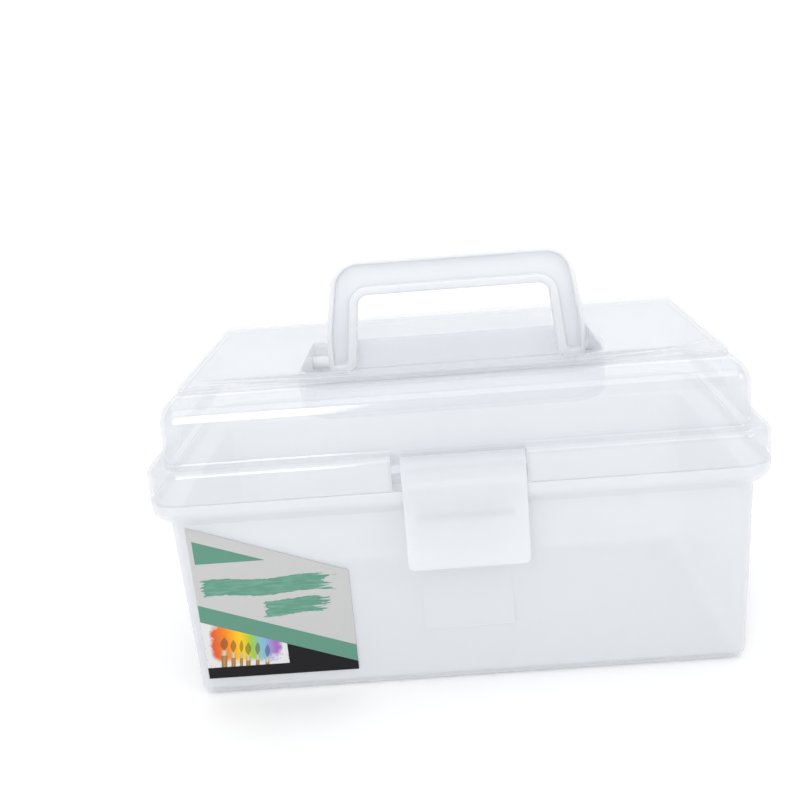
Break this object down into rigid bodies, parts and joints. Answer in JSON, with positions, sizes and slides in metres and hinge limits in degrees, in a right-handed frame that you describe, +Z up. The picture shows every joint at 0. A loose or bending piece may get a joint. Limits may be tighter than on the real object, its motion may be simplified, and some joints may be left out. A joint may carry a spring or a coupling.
{
  "type": "art supply box",
  "caption": "Clear plastic carry box for art supplies: deep tub, hinged domed lid with a fold-down handle in a sunk pocket, and a flip latch at the front.",
  "frame": {"origin": "centre of the footprint, on the surface that the box stands on; the footprint is that of the whole closed box with its latch and hinges", "axes": "+X along the long side, +Z up, -Y is the front where the latch and the label are"},
  "size_m": [0.2604, 0.165, 0.1783],
  "materials": {
    "tub_plastic": "milky translucent polypropylene, moulded, satin gloss",
    "lid_plastic": "clear moulded plastic, glossy",
    "handle_plastic": "milky translucent polypropylene, satin gloss",
    "latch_plastic": "milky translucent polypropylene, satin gloss",
    "label_paper": "coated paper sticker printed in teal, black and paint colours",
    "pin_plastic": "milky translucent polypropylene"
  },
  "bodies": {
    "tub": {"base_tub": "tub_plastic", "front_label": "label_paper", "hinge_pin_left": "pin_plastic", "hinge_pin_right": "pin_plastic"},
    "lid": {"lid": "lid_plastic"},
    "handle": {"carry_handle": "handle_plastic"},
    "latch": {"front_latch": "latch_plastic"}
  },
  "joints": [
    {"name": "lid_hinge", "type": "hinge", "parent": "tub", "child": "lid", "pos_m": [0, 0.0789, 0.09415], "axis": [-1, 0, 0], "range_deg": [0, 105]},
    {"name": "handle_fold", "type": "hinge", "parent": "lid", "child": "handle", "pos_m": [0, 0, 0.1312], "axis": [1, 0, 0], "range_deg": [-15, 90]},
    {"name": "latch_flip", "type": "hinge", "parent": "lid", "child": "latch", "pos_m": [0, -0.0761, 0.1032], "axis": [-1, 0, 0], "range_deg": [0, 165]}
  ]
}
